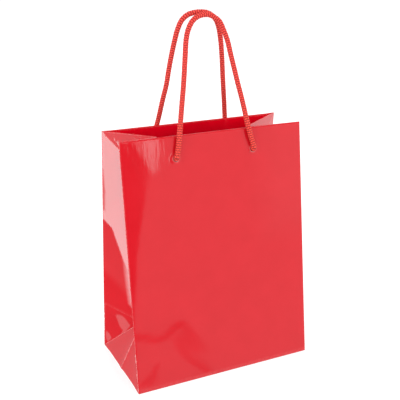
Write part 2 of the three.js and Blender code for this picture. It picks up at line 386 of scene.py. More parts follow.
def smooth_path(points, step):
    """Centripetal Catmull-Rom through the points, then evenly spaced along its length."""
    points = np.asarray(points, float)
    first, last = 2 * points[0] - points[1], 2 * points[-1] - points[-2]
    p = np.vstack([first, points, last])
    fine = []
    for i in range(1, len(p) - 2):
        knots = [0.0]
        for a, b in ((i - 1, i), (i, i + 1), (i + 1, i + 2)):
            knots.append(knots[-1] + math.sqrt(np.linalg.norm(p[b] - p[a])))
        t0, t1, t2, t3 = knots
        t = np.linspace(t1, t2, 25)[:-1, None]
        a1, a2, a3 = (between(t, *knots[k : k + 2], p[i + k - 1], p[i + k]) for k in range(3))
        b1, b2 = between(t, t0, t2, a1, a2), between(t, t1, t3, a2, a3)
        fine.append(between(t, t1, t2, b1, b2))
    fine = np.vstack(fine + [points[-1:]])
    along = np.hstack([[0], np.cumsum(np.linalg.norm(np.diff(fine, axis=0), axis=1))])
    even = np.linspace(0, along[-1], int(round(along[-1] / step)) + 1)
    return np.stack([np.interp(even, along, fine[:, k]) for k in range(3)], axis=1), even


def carried_frames(path):
    """Two directions across the path at each point, turning as little as possible."""
    tangent = np.gradient(path, axis=0)
    tangent /= np.linalg.norm(tangent, axis=1)[:, None]
    side = np.cross(tangent[0], [0.3, 0.5, 0.8])
    sides = []
    for direction in tangent:
        side = side - direction * (side @ direction)
        side = side / np.linalg.norm(side)
        sides.append(side)
    sides = np.array(sides)
    return sides, np.cross(tangent, sides)


STRANDS = 5  # turning each way
BRAID_TURN = 1.0 / 0.0033  # radians a metre: a strand goes once round in 21 mm
ROUND = 40  # points round the rope
ROPE_STEP = 0.00034


def braid(angle, along):
    """How far the surface stands above the core, from 0 to 1, at an angle and a distance along."""
    level = np.cos(BRAID_TURN * along * STRANDS)
    spacing = 2 * math.pi / STRANDS
    heights = []
    for way in (1, -1):
        offset = (angle - way * BRAID_TURN * along) / spacing
        offset = offset - np.round(offset)
        crown = np.sqrt(np.clip(1 - (offset / 0.56) ** 2, 0, 1))
        heights.append(0.30 * (1 + way * level) + 0.40 * crown)
    return np.maximum(*heights)


def braided_tube(name, path, along, radius, flare=0.0):
    """A closed rope along an evenly spaced path. radius is a number for each point of it."""
    side, other = carried_frames(path)
    angle = np.linspace(0, 2 * math.pi, ROUND, endpoint=False)[None, :]
    height = braid(angle, along[:, None])
    distance = radius[:, None] * (0.60 + 0.48 * height)
    if flare:
        left = along[-1] - along[:, None]
        spread = smooth(1 - left / flare)
        distance = distance * (1 + spread * (0.16 + 0.12 * np.cos(11 * angle + 2.0)))
    ring = np.cos(angle)[..., None] * side[:, None] + np.sin(angle)[..., None] * other[:, None]
    points = (path[:, None] + ring * distance[..., None]).reshape(-1, 3)
    rows = len(path)
    points = np.vstack([points, path[0], path[-1]])
    faces = tube_faces(rows, ROUND)
    for i in range(ROUND):
        k = (i + 1) % ROUND
        faces.append((rows * ROUND, k, i))
        faces.append((rows * ROUND + 1, (rows - 1) * ROUND + i, (rows - 1) * ROUND + k))
    piece = new_piece(name, points, faces, [CORD], [0] * len(faces), sharp=80.0)
    store(piece, "strand_height", np.hstack([height.ravel(), [0.3, 0.3]]))
    return piece


# The rope outside the wall, as [x, out from the paper, up from the holes], in its wall's frame.
FRONT_ROUTE = [
    [-0.0385, 0.0029, 0.0], [-0.0366, 0.003, 0.012], [-0.0342, 0.0026, 0.026],
    [-0.0301, 0.0002, 0.046], [-0.0261, -0.0027, 0.063], [-0.0237, -0.0043, 0.076],
    [-0.0214, -0.0058, 0.089], [-0.0192, -0.0072, 0.101], [-0.0163, -0.0082, 0.1094],
    [-0.0116, -0.009, 0.1165], [-0.0061, -0.0094, 0.1203], [-0.0006, -0.0096, 0.1217],
    [0.0052, -0.0096, 0.1215], [0.0104, -0.0093, 0.1191], [0.0149, -0.0088, 0.1152],
    [0.0183, -0.0079, 0.1069], [0.0208, -0.007, 0.0989], [0.0229, -0.0054, 0.0857],
    [0.0252, -0.0039, 0.0723], [0.0274, -0.0023, 0.059], [0.0296, -0.0004, 0.046],
    [0.0325, 0.0026, 0.025], [0.0354, 0.003, 0.012], [0.0385, 0.0029, 0.0],
]
BACK_ROUTE = [
    [0.0385, 0.0029, 0.0], [0.0366, 0.003, 0.012], [0.0334, 0.0025, 0.026],
    [0.031, -0.0003, 0.0436], [0.0285, -0.0022, 0.058], [0.0272, -0.0039, 0.0722],
    [0.0256, -0.0055, 0.0861], [0.0235, -0.0071, 0.0998], [0.0217, -0.0081, 0.1087],
    [0.0184, -0.0091, 0.117], [0.0132, -0.0096, 0.1217], [0.0075, -0.0098, 0.1234],
    [0.0013, -0.0099, 0.1238], [-0.0046, -0.0098, 0.1232], [-0.0103, -0.0095, 0.1207],
    [-0.0147, -0.0091, 0.1169], [-0.0187, -0.0082, 0.1094], [-0.0222, -0.0068, 0.0972],
    [-0.0251, -0.0051, 0.0829], [-0.0276, -0.0034, 0.0682], [-0.0302, -0.0016, 0.0531],
    [-0.0328, 0.0004, 0.04], [-0.0354, 0.0025, 0.026], [-0.0372, 0.003, 0.012],
    [-0.0385, 0.0029, 0.0],
]
# How the rope comes through its hole and turns up: out of the wall and up from the hole's middle.
THROUGH_HOLE = [(-0.0026, 0.0), (-0.0008, 0.0), (0.0010, 0.0002), (0.0023, 0.0014)]

HALF_SPACING = HOLE_SPACING / 2
ROPE_SIDES = {
    "front": (("left", -HALF_SPACING), ("right", HALF_SPACING)),
    "back": (("left", HALF_SPACING), ("right", -HALF_SPACING)),
}


def whole_route(route):
    """The route outside, with its first and last points led through the holes to the knots."""
    first, last = ([[end[0], out, up] for out, up in THROUGH_HOLE] for end in (route[0], route[-1]))
    return first + route[1:-1] + last[::-1]


def make_handle(name, route, place, sign):
    """A rope loop with its two knots. sign is 1 for the front wall and -1 for the back one."""
    route = np.array(whole_route(route))
    points = place(joined_rows(route[:, 0], -route[:, 1], HOLE_UP + route[:, 2]))
    path, along = smooth_path(points, ROPE_STEP)
    cord = braided_tube(name + "_handle_rope", path, along, np.full(len(path), ROPE / 2))
    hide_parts(name + "_handle_cord")
    # Both bodies turn together about the holes, so the bend is in the few millimetres outside them.
    hole = place(joined_rows([0.0], [0.0], [HOLE_UP]))[0]
    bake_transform(cord)
    knots = [make_knot(f"{name}_{side}_rope_knot", x, place, sign * x) for side, x in ROPE_SIDES[name]]
    for knot in knots:
        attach(knot, name + "_wall")
    exit_point = place(joined_rows([route[0, 0]], [0.0], [HOLE_UP]))[0]


def make_knot(name, x, place, lean_to):
    """A stopper knot: the rope runs in, turns over its own end and wraps itself, and a tail hangs."""
    core, wrap, turns = 0.0018, 0.0037, 1.35
    near, far = HEM_FAR + 0.0019, HEM_FAR + 0.0072
    points = [(0, HEM_FAR - 0.0006, 0), (0, HEM_FAR + 0.0020, 0), (0.0002, far - 0.0022, 0.0002)]
    turn_way = 1 if lean_to > 0 else -1
    steps = 16
    for i in range(steps + 1):
        t = i / steps
        angle = turn_way * (0.6 + 2 * math.pi * turns * t)
        r = wrap * smooth(0.35 + t * 3.0)
        depth = far + (near - far) * smooth(t * 1.05)
        points.append((r * math.cos(angle), depth, r * math.sin(angle)))
    last = points[-1]
    for reach, drop in ((0.0014, 0.0020), (0.0021, 0.0052), (0.0020, 0.0088), (0.0014, 0.0125)):
        points.append((last[0] + turn_way * 0.4 * reach, near + reach * 0.6, last[2] - drop))
    local = np.array(points, float)
    world = place(joined_rows(x + local[:, 0], local[:, 1], HOLE_UP + local[:, 2]))
    path, along = smooth_path(world, ROPE_STEP)
    radius = np.full(len(path), ROPE / 2)
    squeeze = smooth(along / 0.004) * (1 - smooth((along - along[-1] + 0.012) / 0.006))
    radius = radius - (ROPE / 2 - core) * squeeze
    knot = braided_tube(name, path, along, radius, flare=0.004)
    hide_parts(name.replace("_rope_knot", "_knot"))
    return knot


make_handle("front", FRONT_ROUTE, unturned, 1)
make_handle("back", BACK_ROUTE, turned, -1)


# ---- The folded sides, as in the CAD part: left front quarter first ----


def fold_point(w):
    w = np.asarray(w, float)[..., None]
    return CORNER + w * UPWARDS


def far_point(w):
    w = np.asarray(w, float)[..., None]
    low = CORNER + (PEAK - CORNER) * np.clip(w / HALF_DEPTH, 0, 1)
    high = PEAK + (MOUTH - PEAK) * (w - HALF_DEPTH) / (WALL - HALF_DEPTH)
    return np.where(w < HALF_DEPTH, low, high)


def fold_angle(w):
    """The angle between the wall and the gusset at the fold."""
    towards = far_point(np.maximum(w, 1e-4)) - fold_point(np.maximum(w, 1e-4))
    return np.arctan2(towards @ INWARDS, towards @ ACROSS)


def nose_centre(w):
    return fold_point(w) + NOSE * ACROSS + NOSE * INWARDS


def gusset_outward(w):
    angle = fold_angle(w)[..., None]
    return -np.sin(angle) * ACROSS + np.cos(angle) * INWARDS


TOP_CREASE = WALL  # the 45 degree crease meets the fold here
CENTRE_ROUND = 0.0006  # how round the centre fold is
# Small buckles below the gusset's level crease: in from the fold, up, the two sizes and the height.
LOW_DENTS = [
    (0.0310, 0.0350, 0.0200, 0.0105, 0.00112),
    (0.0065, 0.0110, 0.0090, 0.0068, 0.00048),
    (0.0160, 0.0270, 0.0040, 0.0050, -0.00012),
]


def gusset_surface(flat):
    """Outer face of the left front half gusset at s in from the fold and w up the wall's fold."""
    s, w = flat.T
    high = np.clip(w, 1e-4, WALL - NOSE)
    width = np.minimum(high, HALF_DEPTH)
    outward, angle = gusset_outward(high), fold_angle(high)
    first = NOSE * (np.cos(angle) + np.sin(angle))
    start, stop = nose_centre(high) + NOSE * outward, far_point(high)
    towards = (stop - start) / np.maximum(width - first, 1e-4)[:, None]
    point = start + towards * (s - first)[:, None]
    left = np.clip(width - s, 0, None)
    rounding = (np.sqrt(left**2 + CENTRE_ROUND**2) - left) * np.where(high > HALF_DEPTH, 1, 0.4)
    point[:, 0] -= towards[:, 0] * rounding
    point = point + outward * gusset_relief(s, high)[:, None]
    # Over the top edge: a half turn of the same radius as the fold's nose.
    over = np.clip((w - (WALL - NOSE)) / NOSE, 0, math.pi)
    point = point + outward * (NOSE * (np.cos(over) - 1))[:, None]
    return point + UPWARDS * (NOSE * np.sin(over))[:, None]


def gusset_relief(s, w):
    """Small bends of the folded paper: a diagonal crease below the top corner and slow waves."""
    inside = smooth(s / 0.012) * smooth((HALF_DEPTH - s) / 0.012)
    edges = smooth(s / 0.003) * smooth((HALF_DEPTH - s) / 0.004)
    from_crease = (s + w - TOP_CREASE) / math.sqrt(2)
    ridge = 0.00009 * np.exp(-((from_crease / 0.0014) ** 2)) + 0.00006 * np.exp(-np.abs(from_crease) / 0.008)
    waves = 0.00004 * np.sin(w / 0.031 + 1.2) * np.sin(s / 0.017 + w / 0.09)
    low_fold = 0.00005 * np.exp(-np.abs(w - HALF_DEPTH) / 0.0012)
    low_window = smooth(s / 0.002) * smooth((w - s) / 0.003) * smooth((HALF_DEPTH - w) / 0.003)
    dents = 0
    for middle_s, middle_w, size_s, size_w, height in LOW_DENTS:
        from_s, from_w = (s - middle_s) / size_s, (w - middle_w) / size_w
        dents = dents + height * from_s * np.exp(-((from_s**2 + from_w**2) ** 2))
    return ridge * edges + (waves + low_fold) * inside + dents * low_window


def mirrored_paper(name, flat, faces, surface, side, end, wear_and_highlight=None, **looks):
    """One quarter's sheet. Where the mirroring asks for it, v is negated and the faces are turned
    round, so that u then v still face outwards, as paper() needs."""
    flip = side * end > 0
    sign = np.array([1.0, -1.0 if flip else 1.0])
    place = lambda f: surface(f * sign) * np.array([side, end, 1.0])
    worn_and_highlit = None if wear_and_highlight is None else (lambda f: wear_and_highlight(f * sign))
    faces = [face[::-1] for face in faces] if flip else faces
    return paper(name, flat * sign, faces, place, wear_and_highlight=worn_and_highlit, **looks)


def near_line(distance, width=0.0006):
    return np.exp(-((distance / width) ** 2))


# The gusset's folds and creases: worn print and painted highlight.
def gusset_wear_and_highlight(flat):
    s, w = flat.T
    centre = near_line(np.minimum(w, HALF_DEPTH) - s)
    crease = near_line((s + w - TOP_CREASE) / math.sqrt(2), 0.0005)
    level = 0.4 * near_line(w - HALF_DEPTH, 0.0004)
    return 0.6 * np.clip(near_line(s) + centre + near_line(w - WALL) + level + crease, 0, 1)


def gusset_columns():
    return np.hstack([[0.0005, 0.0010, 0.0016], np.linspace(0.0024, HALF_DEPTH, 40)])


def gusset_rows():
    """Rows over the top crease match the columns, so that the crease runs through the grid's points."""
    straight = spaced(HALF_DEPTH, WALL - 0.0535, 0.0035)
    creased = WALL - gusset_columns()[::-1]
    over = WALL - NOSE + NOSE * np.radians([0, 20, 45, 75, 105, 135, 160, 180])
    return np.hstack([straight, [WALL - 0.0515], creased, over])


def upper_gusset(prefix, side, end):
    flat, quads = grid(gusset_columns(), gusset_rows())
    faces = [half for a, b, c, d in quads for half in ((a, b, d), (b, c, d))]
    piece = mirrored_paper(prefix + "gusset_paper", flat, faces, gusset_surface, side, end, wear_and_highlight=gusset_wear_and_highlight)
    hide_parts(prefix + "gusset")
    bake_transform(piece)


def foot_surface(flat):
    """The gusset below the level of its peak: u runs from the fold (0) to the base crease (1)."""
    u, w = flat.T
    first = NOSE * (np.cos(fold_angle(w)) + np.sin(fold_angle(w)))
    s = first + (w - first) * np.clip(u, 0, 1)
    inside = gusset_surface(np.stack([s, w], axis=1))
    # A hidden tongue behind the fold keeps the corner closed while the wall turns.
    back = np.clip(-u, 0, 1)
    angle = (math.pi - fold_angle(w)) * (1 - back)
    radius = NOSE - 0.00005 * smooth(back * 8)
    radial = -np.cos(angle)[:, None] * INWARDS - np.sin(angle)[:, None] * ACROSS
    tongue = nose_centre(w) + radius[:, None] * radial
    return np.where((u < 0)[:, None], tongue, inside)


def gusset_foot(prefix, side, end):
    rows = np.hstack([np.linspace(0.0014, 0.012, 8), spaced(0.0135, HALF_DEPTH, 0.0015)])
    flat, faces = grid(np.hstack([np.linspace(-1, -0.125, 8), np.linspace(0, 1, 34)]), rows)
    # The foot's fold and base crease: worn print and painted highlight.
    wear_and_highlight = lambda f: np.clip(near_line(f[:, 0] * f[:, 1]) + near_line((1 - f[:, 0]) * f[:, 1]) * 0.8, 0, 1)
    piece = mirrored_paper(prefix + "gusset_foot_paper", flat, faces, foot_surface, side, end, wear_and_highlight=wear_and_highlight)
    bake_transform(piece)


def gusset_hem_surface(flat):
    """The turned-in layer behind the gusset's outer one, seen from inside the bag."""
    s, down = flat.T
    w = WALL - NOSE - down
    base = gusset_surface(np.stack([s, w], axis=1))
    outward = gusset_outward(w)
    settle = 0.00025 * smooth(down / 0.010)
    return base - outward * (2 * NOSE + settle)[:, None]


def gusset_hem(prefix, side, end):
    columns = np.hstack([np.linspace(0.0030, 0.012, 6), spaced(0.015, HALF_DEPTH - 0.0004, 0.004)])
    flat, faces = grid(columns, spaced(0.0, HEM - NOSE, 0.004))
    name = prefix + "gusset_turned_in_paper"
    looks = {"outer": TURNED_IN, "thickness": 0.00025}
    piece = mirrored_paper(name, flat, faces, gusset_hem_surface, side, end, **looks)
    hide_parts(prefix + "gusset_hem")
    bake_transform(piece)


def base_surface(side):
    """The triangle that leans in over the base: along its fold at the floor, then v up to its peak."""
    slope_in, slope_up = PEAK_IN / HALF_DEPTH, PEAK_UP / HALF_DEPTH

    def surface(flat):
        y, v = -side * flat[:, 0], flat[:, 1]
        reach = HALF_DEPTH - v
        across = y * reach / HALF_DEPTH
        sag = 0.0007 * smooth((reach - np.abs(across)) / 0.02) * (1 - np.exp(-np.abs(across) / 0.004))
        foot = NOSE * np.clip(1 - v / NOSE, 0, 1)
        x = -HALF_WIDTH + v * slope_in + sag * slope_up + foot * 0.4
        z = np.maximum(v * slope_up - sag * slope_in, 0.00005)
        return np.stack([x * side, across, z], axis=1)

    return surface


def base_triangle(name, side):
    right = np.linspace(0.002, HALF_DEPTH, 24)
    ys = np.hstack([np.linspace(-HALF_DEPTH, -0.002, 24), [-0.0008, 0.0, 0.0008], right])
    vs = np.hstack([[0.0, 0.0002, 0.0005], spaced(0.002, HALF_DEPTH - 0.0006, 0.003)])
    flat, faces = grid(ys, vs)

    # The base triangle's ridge and edges: worn print, with a strong painted highlight on the ridge.
    def wear_and_highlight(f):
        ridge = near_line(f[:, 0] * (HALF_DEPTH - f[:, 1]) / HALF_DEPTH, 0.0008)
        sides = near_line((HALF_DEPTH - np.abs(f[:, 0])) * (HALF_DEPTH - f[:, 1]) / HALF_DEPTH)
        return np.clip(1.8 * ridge + sides * 0.8 + near_line(f[:, 1]), 0, 1.8)

    piece = paper(name + "_base_fold_paper", flat, faces, base_surface(side), wear_and_highlight=wear_and_highlight)
    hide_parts(name + "_front_base_triangle", name + "_rear_base_triangle")
    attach(piece, "base")


for side_name, side in (("left", 1), ("right", -1)):
    for end_name, end, wall in (("front", 1, "front_wall"), ("rear", -1, "back_wall")):
        prefix = f"{side_name}_{end_name}_"
        upper_gusset(prefix, side, end)
        gusset_foot(prefix, side, end)
        gusset_hem(prefix, side, end)
    base_triangle(side_name, side)


# ---- The big walls ----

TOP_ROLL = HEM_FAR / 2  # the rounded top edge, over paper, board and paper
WALL_END = HALF_WIDTH - NOSE  # the flat stretch ends and the fold's nose starts
BOTTOM_START = NOSE * (1 + SIN) / COS  # where the wall's face leaves the bottom fold
FACE_TOP = WALL - TOP_ROLL  # where the rounded top edge starts
STRETCH = FACE_TOP / (FACE_TOP - BOTTOM_START)  # from heights on the wall to the sheet's own
PATCH = 0.008  # half side of the square round each hole that has its own mesh


def roll_radius(x):
    """The top edge is thick over the cardboard strip and thins to two layers at the folds."""
    thin = smooth((np.abs(x) - (HALF_WIDTH - HEM_INSET)) / 0.007)
    return TOP_ROLL + (NOSE - TOP_ROLL) * thin


def wall_relief(x, up):
    """How far the paper stands out: a slow bow, waves near the foot and dimples at the holes."""
    frame_fade = smooth((HALF_WIDTH - np.abs(x)) / 0.03) * smooth(up / 0.03) * smooth((WALL - up) / 0.03)
    bow = 0.00010 * np.cos(x / HALF_WIDTH * math.pi / 2) * np.sin(up / WALL * math.pi)
    foot = smooth((0.09 - up) / 0.05)
    waves = 0.00012 * foot * np.sin(x / 0.013 + 0.6) * np.sin(up / 0.012 + x / 0.04)
    corner = smooth((up - 0.185) / 0.02) * smooth((np.abs(x) - 0.035) / 0.015)
    corner = corner * smooth((HALF_WIDTH - np.abs(x)) / 0.004)
    ripples = 0.000011 * np.sin(x / 0.0026 + 4 * up / 0.03) * np.cos(up / 0.009 + x / 0.006)
    relief = bow + frame_fade * waves + corner * ripples
    for side in (-1, 1):
        from_hole = np.hypot(x - side * HALF_SPACING, up - HOLE_UP)
        relief = relief + 0.00022 * np.exp(-(((from_hole - HOLE_RADIUS) / 0.0016) ** 2))
    return relief


def wall_surface(flat):
    """Outer face of the front wall. a is across, and past the flat it goes round the fold; b is up,
    with the bottom fold below 0 and the rolled top edge above FACE_TOP."""
    a, b = flat.T
    x = np.clip(a, -WALL_END, WALL_END)
    roll = roll_radius(x)
    up = BOTTOM_START + np.clip(b, 0, None) * (FACE_TOP - BOTTOM_START) / FACE_TOP
    up = np.minimum(up, FACE_TOP)
    up = up + (TOP_ROLL - roll) * smooth((up - FACE_TOP + 0.010) / 0.010)
    over = np.clip((b - FACE_TOP) / TOP_ROLL, 0, None)
    under = np.clip(-b / NOSE, 0, None)
    # The gusset leaves the wall at a different angle at each height, so the fold turns as far.
    around = np.clip((np.abs(a) - WALL_END) / NOSE, 0, 1) * (math.pi - fold_angle(up))
    radius = np.where(b > FACE_TOP, roll, NOSE)
    radial = -np.cos(around)[:, None] * INWARDS + (np.sin(around) * np.sign(a))[:, None] * ACROSS
    centre = joined_rows(x, radius, up)
    swing = over - under
    point = centre + radius[:, None] * (np.cos(swing)[:, None] * radial + np.sin(swing)[:, None] * UPWARDS)
    relief = wall_relief(x, up) * np.cos(np.clip(swing, -math.pi / 2, math.pi / 2))
    return point - INWARDS * (relief * (around == 0))[:, None]


def wall_lines():
    """Grid lines across and up, with the hole patches' corners on them."""
    patch = np.linspace(-PATCH, PATCH, 9)
    xs = [spaced(-WALL_END, -0.075, 0.0012), spaced(-0.073, -HALF_SPACING - PATCH - 0.003, 0.0045)]
    xs += [-HALF_SPACING + patch, spaced(-HALF_SPACING + PATCH + 0.004, 0.0, 0.0045)]
    left = np.hstack(xs)
    across = np.hstack([left, -left[:-1][::-1]])
    below = spaced(0.0, HOLE_UP - PATCH - 0.003, 0.0045)
    beside = (HOLE_UP + patch - BOTTOM_START) * STRETCH
    above = spaced(HOLE_UP + PATCH + 0.002, FACE_TOP, 0.0018)
    return across, np.hstack([below, beside, above])


def wall_mesh():
    """Sheet coordinates and faces of a big wall with two round holes and rounded edges."""
    across, ups = wall_lines()
    noses = WALL_END + NOSE * np.linspace(0, 1, 8)[1:]
    across = np.hstack([-noses[::-1], across, noses])
    unders = -NOSE * np.linspace(math.pi / 2 + LEAN, 0, 7)[:-1]
    overs = FACE_TOP + TOP_ROLL * np.radians([12, 28, 45, 62, 80, 100, 118, 135, 152, 168, 180])
    ups = np.hstack([unders, ups, overs])
    flat, faces = grid(across, ups)
    hole_b = (HOLE_UP - BOTTOM_START) * STRETCH
    kept = []
    for face in faces:
        middle = flat[list(face)].mean(axis=0)
        in_patch = any(
            abs(middle[0] - side * HALF_SPACING) < PATCH and abs(middle[1] - hole_b) < PATCH * STRETCH
            for side in (-1, 1)
        )
        past_corner = abs(middle[0]) > WALL_END and middle[1] > FACE_TOP + TOP_ROLL * math.radians(80)
        if not in_patch and not past_corner:
            kept.append(face)
    points = [tuple(p) for p in flat]
    lookup = {(round(p[0], 7), round(p[1], 7)): i for i, p in enumerate(points)}
    for side in (-1, 1):
        kept += hole_patch(points, lookup, side * HALF_SPACING, hole_b)
    used = sorted({i for face in kept for i in face})
    renumber = {old: new for new, old in enumerate(used)}
    flat = np.array([points[i] for i in used])
    return flat, [tuple(renumber[i] for i in face) for face in kept]


def hole_patch(points, lookup, x, b):
    """Rings from a round hole out to the square patch's edge, which the grid already holds."""
    line = np.linspace(-PATCH, PATCH, 9)
    forth, back = line[:-1], line[:0:-1]
    square = [(p, -PATCH) for p in forth] + [(PATCH, p) for p in forth]
    square += [(p, PATCH) for p in back] + [(-PATCH, p) for p in back]
    rings = []
    for share in (0.0, 0.06, 0.14, 0.26, 0.42, 0.66, 1.0):
        ring = []
        for px, pb in square:
            angle = math.atan2(pb, px)
            cx, cb = HOLE_RADIUS * math.cos(angle), HOLE_RADIUS * math.sin(angle)
            qx, qb = cx + (px - cx) * share, (cb + (pb - cb) * share) * STRETCH
            key = (round(x + qx, 7), round(b + qb, 7))
            if share == 1.0:
                ring.append(nearest(lookup, key))
            else:
                points.append((x + qx, b + qb))
                ring.append(len(points) - 1)
        rings.append(ring)
    faces = []
    count = len(square)
    for inner, outer in zip(rings, rings[1:]):
        for k in range(count):
            n = (k + 1) % count
            faces.append((inner[k], outer[k], outer[n], inner[n]))
    return faces


def nearest(lookup, key):
    if key in lookup:
        return lookup[key]
    best = min(lookup, key=lambda other: (other[0] - key[0]) ** 2 + (other[1] - key[1]) ** 2)
    return lookup[best]


# The wall's folds, top edge and hole rims: worn print and painted highlight.
def wall_wear_and_highlight(flat):
    a, b = flat.T
    sides = near_line(np.clip(HALF_WIDTH - np.abs(a), 0, None), 0.0005)
    top = near_line(np.clip(WALL - 0.0008 - b, 0, None), 0.0006)
    bottom = near_line(np.clip(b, 0, None), 0.0005)
    worn_and_highlit = 0.4 * sides + 0.1 * top + 0.3 * bottom
    for side in (-1, 1):
        from_hole = np.hypot(a - side * HALF_SPACING, b - HOLE_UP) - HOLE_RADIUS
        worn_and_highlit = worn_and_highlit + near_line(np.clip(from_hole, 0, None), 0.0009)
    return np.clip(worn_and_highlit, 0, 1)


def make_wall(name, place):
    flat, faces = wall_mesh()
    surface = lambda f: place(wall_surface(f))
    looks = {"outer": WALL_PAPER, "cut": WALL_PAPER, "wear_and_highlight": wall_wear_and_highlight}
    piece = paper(name + "_panel_paper", flat, faces, surface, **looks)
    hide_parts(name + "_panel")
    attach(piece, name + "_wall")


def hem_surface(flat):
    """The turned-in layer's inner face, from the rolled top edge down, seen from inside the bag."""
    a, down = flat.T
    roll = roll_radius(a)
    up = WALL - roll - down
    depth = 2 * roll + 0.00015 * smooth(down / 0.01) * np.sin(a / 0.02)
    return joined_rows(a, depth, up)


def make_hem(name, place):
    """It reaches into both folds, and its holes are hidden by the knots that sit on them."""
    left, right = spaced(-0.0885, -0.078, 0.0015), spaced(0.078, 0.0885, 0.0015)
    columns = np.hstack([left, spaced(-0.074, 0.074, 0.004), right])
    flat, faces = grid(columns[::-1], spaced(0.0, HEM - TOP_ROLL, 0.003)[::-1])
    surface = lambda f: place(hem_surface(f))
    piece = paper(name + "_turned_in_paper", flat, faces, surface, outer=TURNED_IN)
    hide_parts(name + "_hem")
    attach(piece, name + "_wall")


for wall_name, wall_place in (("front", unturned), ("back", turned)):
    make_wall(wall_name, wall_place)
    make_hem(wall_name, wall_place)


# ---- The folded bottom, the glued seam and the boards ----

LAYER = 0.00075  # from one layer of the bottom to the next
BOTTOM_LAP = 0.012
FLAP_EDGE = 0.049
FLAP_CORNER = HALF_WIDTH - 0.001


def rise_over(y):
    """The back flap steps up where it laps over the front one."""
    return LAYER * (1 - smooth((y - BOTTOM_LAP - 0.0003) / 0.003))


def flap_surface(step):
    """A flap from its fold (v = 0) inwards, seen from below: its sides run in at 45 degrees."""

    def surface(flat):
        u, v = flat.T
        half = FLAP_CORNER - v
        ripple = 0.00006 * (1 + np.sin(u * 7 + v / 0.011)) * smooth(v / 0.02)
        height = 0.00005 + ripple + (rise_over(FLAP_EDGE - v) if step else 0)
        return np.stack([-u * half, v - FLAP_EDGE, height * np.ones_like(u)], axis=1)

    return surface


def make_flap(name, place, step):
    reach = FLAP_EDGE + BOTTOM_LAP
    rows = np.hstack([spaced(0.0, 0.030, 0.004), spaced(0.032, reach, 0.0016)])
    flat, faces = grid(np.linspace(-1, 1, 33), rows)
    surface = flap_surface(step)

    # The flap's fold and sides: worn print and painted highlight.
    def wear_and_highlight(f):
        sides = near_line((1 - np.abs(f[:, 0])) * (FLAP_CORNER - f[:, 1]))
        return np.clip(near_line(f[:, 1]) + 0.5 * sides, 0, 1)

    piece = paper(name + "_bottom_flap_paper", flat, faces, lambda f: place(surface(f)), wear_and_highlight=wear_and_highlight)
    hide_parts(name + "_bottom_flap")
    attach(piece, "base")


def make_tuck(name, place):
    """A side tuck lies over both flaps, printed side down."""
    near, far, half = 0.002, 0.045, HALF_DEPTH - 0.003
    flat, faces = grid(np.linspace(-1, 1, 21), spaced(near, far, 0.004))

    def surface(f):
        across = f[:, 0] * (half - (f[:, 1] - near))
        height = 2 * LAYER + 0.00006 * np.sin(f[:, 1] / 0.007) * np.cos(f[:, 0] * 3)
        return place(np.stack([-HALF_WIDTH + f[:, 1], across, height], axis=1))

    piece = paper(name + "_bottom_tuck_paper", flat, faces, surface)
    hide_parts(name + "_bottom_tuck")
    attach(piece, "base")


def make_base_board():
    """A loose sheet of grey board, its edges pressed a little round by the cutting."""
    half_x, half_y, radius, thick = HALF_WIDTH - 0.0032, HALF_DEPTH - 0.002, 0.0022, 0.0015
    low = 3 * LAYER
    rings = [(0.0006, low), (0.0, low + 0.00035), (0.0, low + thick - 0.00035), (0.0006, low + thick)]
    points = []
    steps = 8
    for inset, z in rings:
        for corner, (sx, sy) in enumerate(((1, 1), (-1, 1), (-1, -1), (1, -1))):
            for k in range(steps):
                angle = math.pi / 2 * (corner + k / (steps - 1))
                x = sx * (half_x - radius) + (radius - inset) * math.cos(angle)
                y = sy * (half_y - radius) + (radius - inset) * math.sin(angle)
                points.append((x, y, z))
    count = 4 * steps
    faces = tube_faces(len(rings), count)
    faces.append(tuple(range(count))[::-1])
    faces.append(tuple(range(3 * count, 4 * count)))
    piece = new_piece("base_cardboard", points, faces, [BOARD], [0] * len(faces), sharp=50.0)
    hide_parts("base_board")
    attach(piece, "base")


def make_seam_tab():
    """The glued tab inside the back wall, beside its fold, with its two ends cut at a slant."""
    near, wide, low, high, slant = -HALF_WIDTH + 0.006, 0.015, 0.006, WALL - HEM - 0.002, 0.006
    flat, faces = grid(np.linspace(0, 1, 9), np.linspace(0, 1, 48))

    def surface(f):
        share, down = f[:, 0], f[:, 1]
        up = high - slant * share - (high - low - 2 * slant * share) * down
        depth = 0.00110 + 0.00005 * np.sin(up / 0.013) * share
        return turned(joined_rows(near + wide * share, depth, up))

    piece = paper("side_seam_paper", flat, faces, surface, inner=GLOSSY, outer=BARE)
    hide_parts("side_seam_tab")
    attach(piece, "back_wall")


make_flap("front", unturned, False)
make_flap("back", turned, True)
make_tuck("left", unturned)
make_tuck("right", turned)
make_base_board()
make_seam_tab()
for board_name in ("front_top_board", "back_top_board"):
    for board_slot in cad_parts[board_name].material_slots:
        board_slot.material = BOARD


# ---- Floor, world and light ----

WHITE = (1.0, 1.0, 1.0, 1.0)


def make_floor():
    mesh = bpy.data.meshes.new("floor")
    reach = 6.0
    corners = [(-reach, -reach, 0), (reach, -reach, 0), (reach, reach, 0), (-reach, reach, 0)]
    mesh.from_pydata(corners, [], [(0, 1, 2, 3)])
    floor = add_object("floor", mesh)
    floor.location.z = -0.0002
    material, nodes, shader, place = new_material("floor")
    shade = nodes.mixed(nodes.noise(place, 3.0), (0.54, 0.54, 0.54), (0.56, 0.56, 0.56))
    nodes.fill(shader, {"Base Color": shade, "Roughness": 0.9, "Specular IOR Level": 0.0})
    nodes.fill(shader, {"Emission Color": WHITE, "Emission Strength": 0.56})
    mesh.materials.append(material)
    floor.visible_glossy = False  # the paper mirrors the studio's cards, not the floor


def direction(azimuth, elevation):
    """Azimuth in degrees right of the front, elevation above the horizon."""
    a, e = math.radians(azimuth), math.radians(elevation)
    return np.array([math.sin(a) * math.cos(e), -math.cos(a) * math.cos(e), math.sin(e)])


